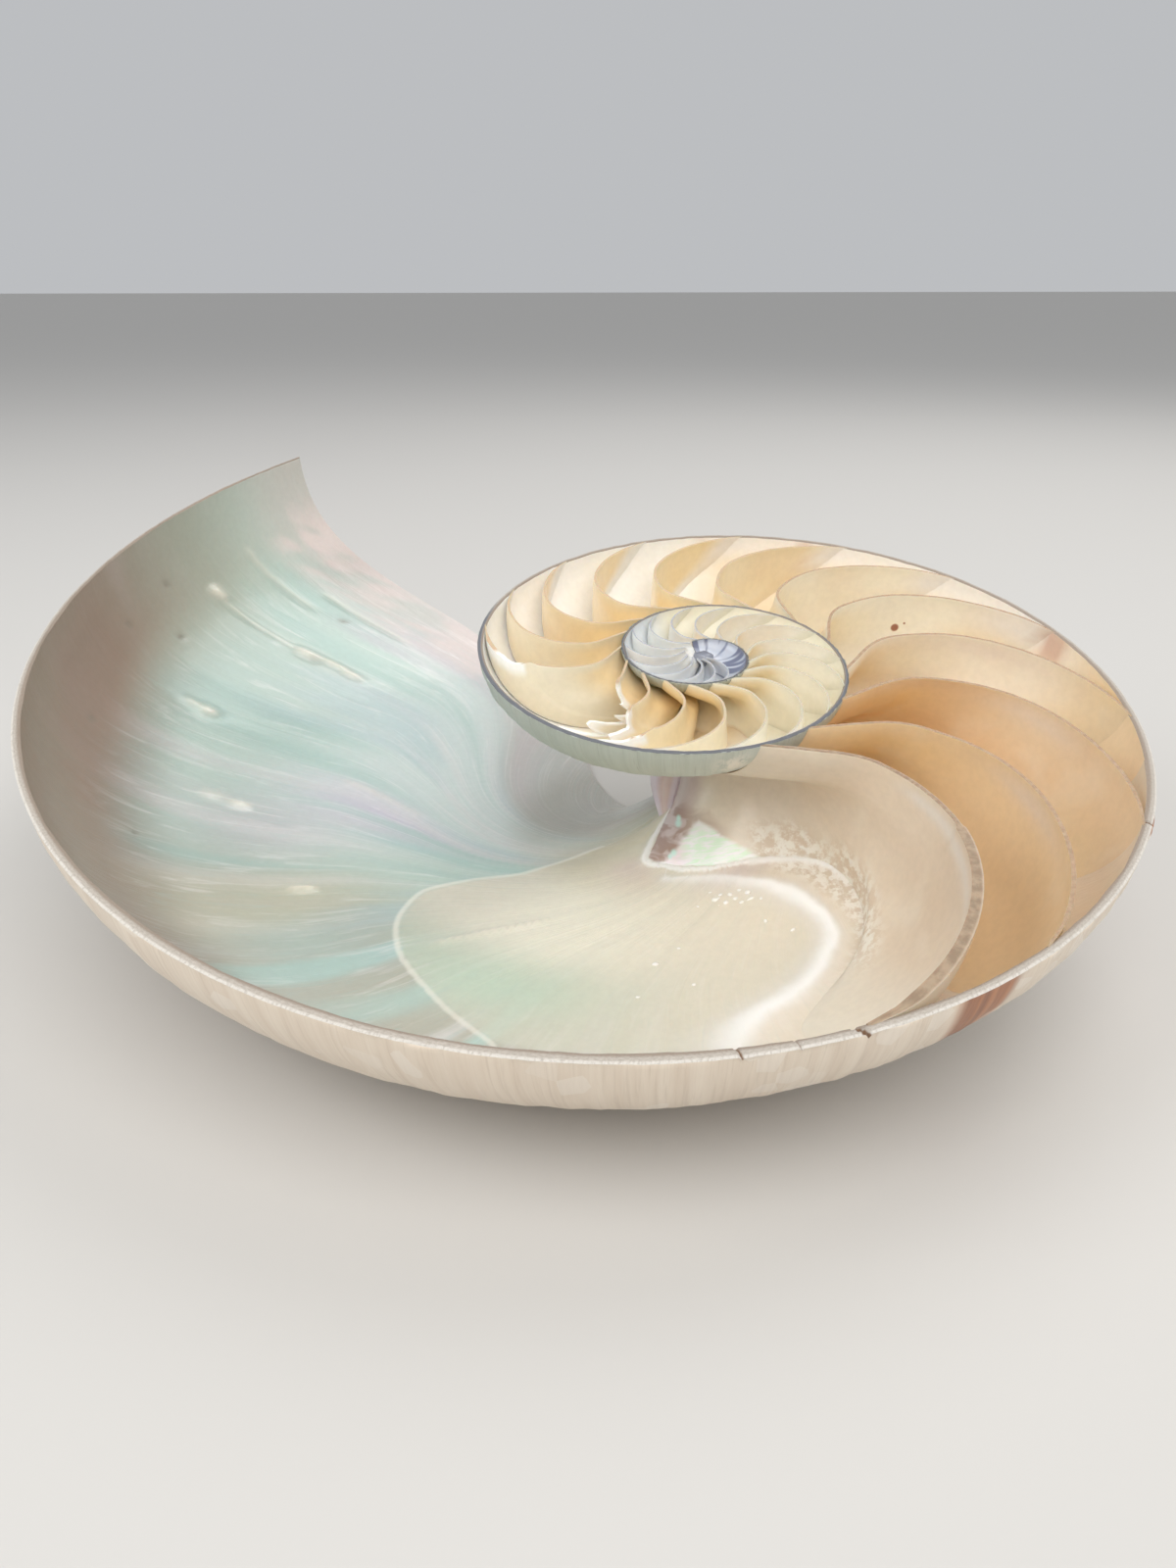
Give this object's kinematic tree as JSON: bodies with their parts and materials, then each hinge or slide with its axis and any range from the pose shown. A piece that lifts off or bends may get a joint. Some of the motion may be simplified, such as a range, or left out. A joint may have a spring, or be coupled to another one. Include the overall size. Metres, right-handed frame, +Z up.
{
  "type": "nautilus shell",
  "caption": "Half of a chambered nautilus shell sawn along its plane of symmetry, showing the open living chamber and the coil of gas chambers.",
  "frame": {"origin": "centre of the bounding box in plan, on the level surface that the shell lies on", "axes": "+Z up from that surface, with the sawn face up and leaning 11 degrees towards -Y; +Y away from someone who looks over the rim of the living chamber into the sawn face, +X to their right"},
  "size_m": [0.1482, 0.151, 0.0494],
  "materials": {
    "shell": "satin"
  },
  "bodies": {
    "root": {"nautilus_shell": "shell"}
  },
  "joints": []
}
